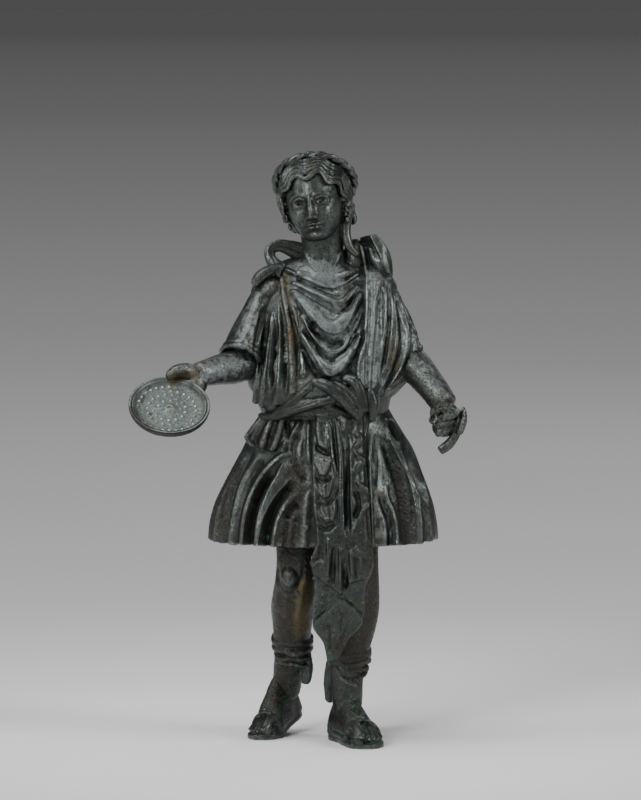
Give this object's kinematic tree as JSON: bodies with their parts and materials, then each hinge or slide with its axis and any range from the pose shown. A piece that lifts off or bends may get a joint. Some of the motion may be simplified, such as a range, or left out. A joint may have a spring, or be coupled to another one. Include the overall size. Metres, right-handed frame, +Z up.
{
  "type": "roman lar figure",
  "caption": "Bronze statuette of a striding household god in tunic, mantle and open boots, holding out a libation dish.",
  "frame": {"origin": "on the floor under the middle of the bounding box of the figure and its dish", "axes": "+Z up along the figure's height, the figure faces -Y, +X towards the viewer's right"},
  "size_m": [0.1104, 0.0691, 0.1976],
  "materials": {
    "bronze": "dark, patinated cast bronze",
    "dish_bronze": "blue-grey patinated bronze"
  },
  "bodies": {
    "root": {"lar_figure": "bronze", "patera": "dish_bronze"}
  },
  "joints": []
}
